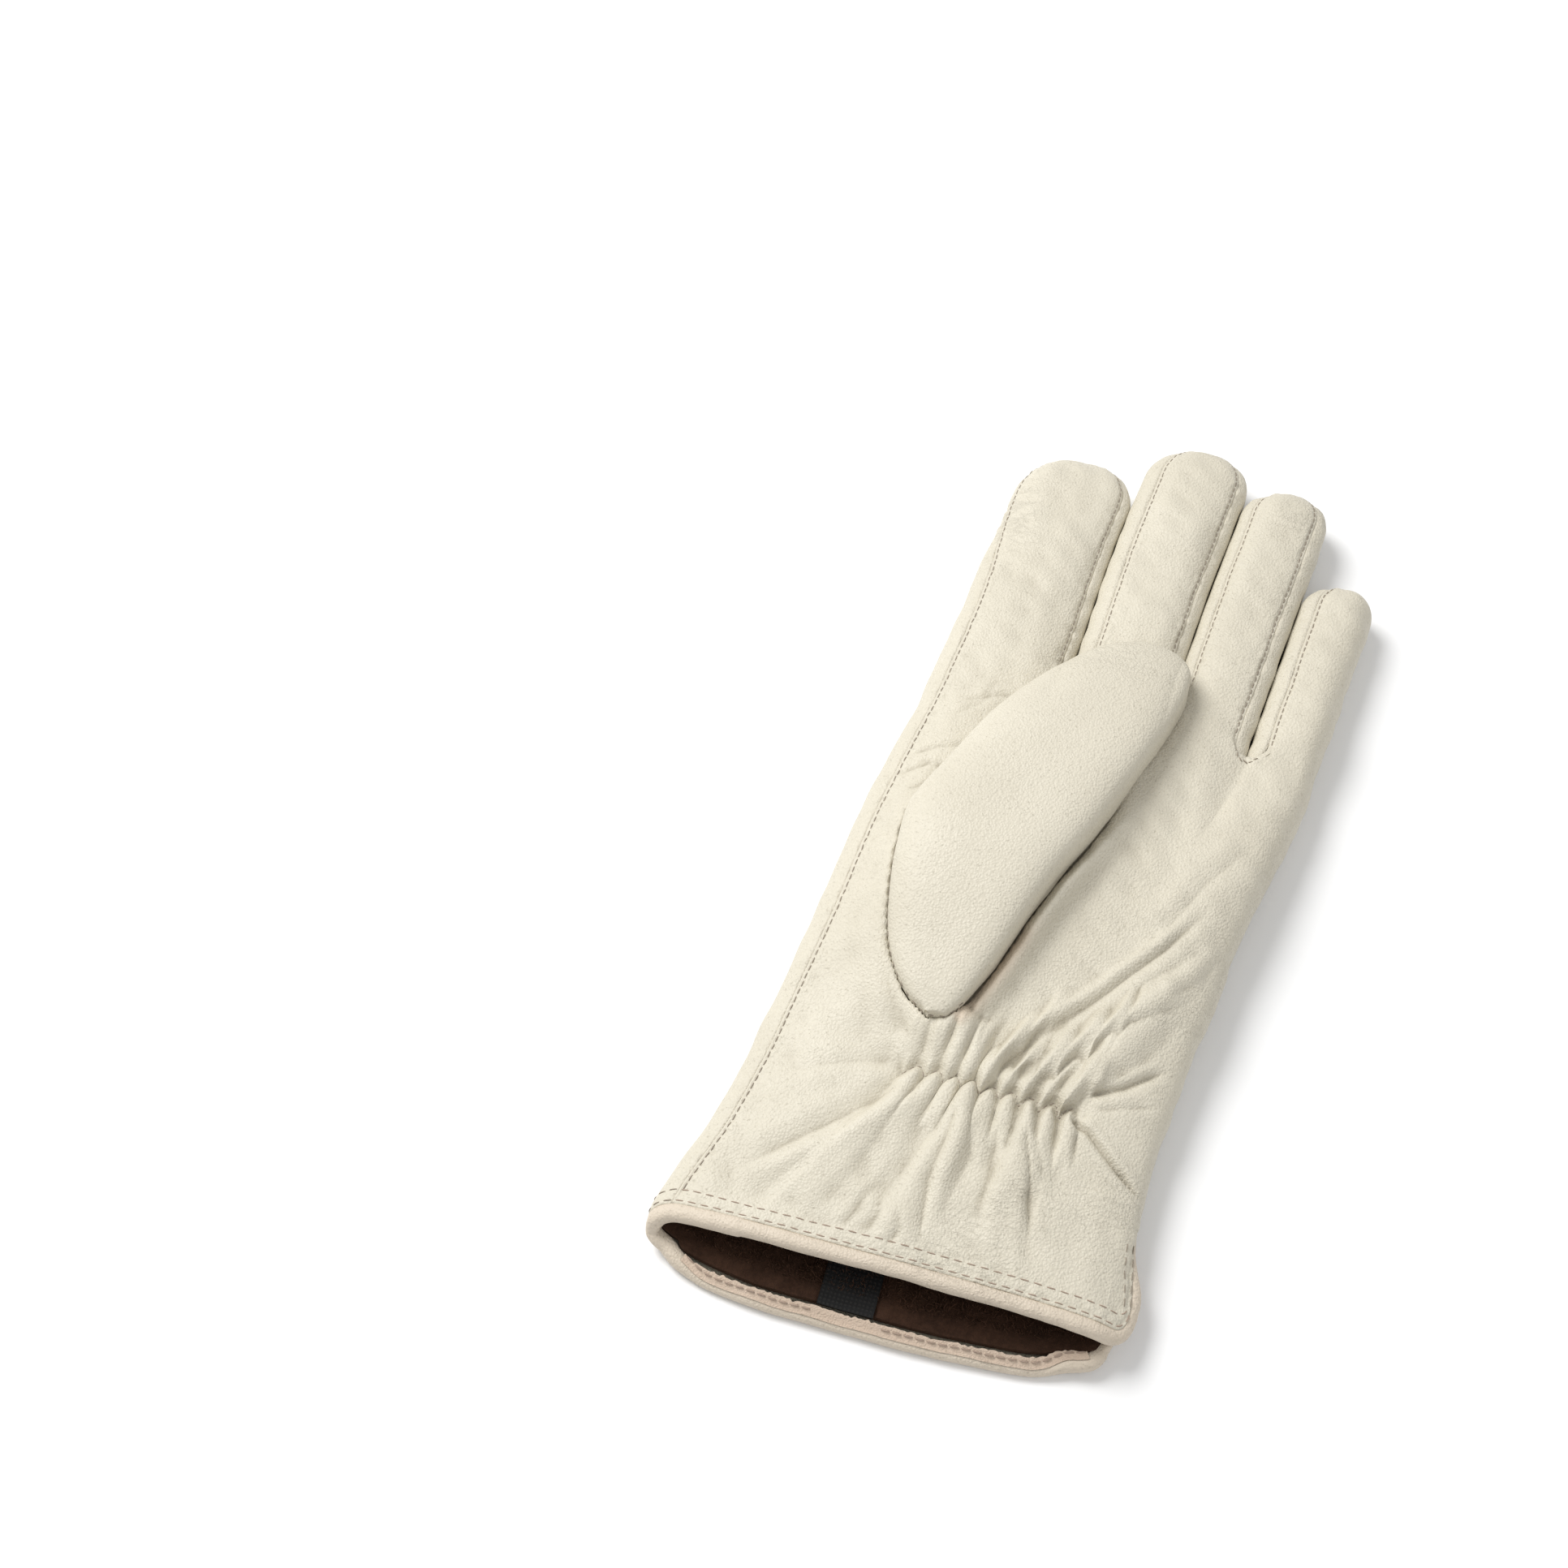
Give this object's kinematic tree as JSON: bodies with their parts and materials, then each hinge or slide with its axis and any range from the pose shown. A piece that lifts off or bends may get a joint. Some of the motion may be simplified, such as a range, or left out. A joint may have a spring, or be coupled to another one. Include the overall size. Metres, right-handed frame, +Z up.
{
  "type": "leather glove",
  "caption": "Lined faux leather glove for the left hand lying palm up: thumb folded over, gathered wrist, bound cuff with side vent, braided back.",
  "frame": {"origin": "middle of the underside of the lying glove", "axes": "+Y from the cuff to the fingertips, +Z up off the palm, +X towards the little finger"},
  "size_m": [0.1246, 0.2524, 0.0323],
  "materials": {
    "cream_leather": "cream faux leather with a fine grain",
    "hem_leather": "rolled edge of pinker cream leather",
    "brown_pile": "short dark brown pile lining",
    "black_weave": "plain black woven tab"
  },
  "bodies": {
    "root": {"palm_panel": "cream_leather", "back_panel": "cream_leather", "fourchette_index_middle": "cream_leather", "fourchette_middle_ring": "cream_leather", "fourchette_ring_little": "cream_leather", "thumb": "cream_leather", "hem_binding": "hem_leather", "lining": "brown_pile", "label": "black_weave", "braid_index_side": "cream_leather", "braid_little_side": "cream_leather"}
  },
  "joints": []
}
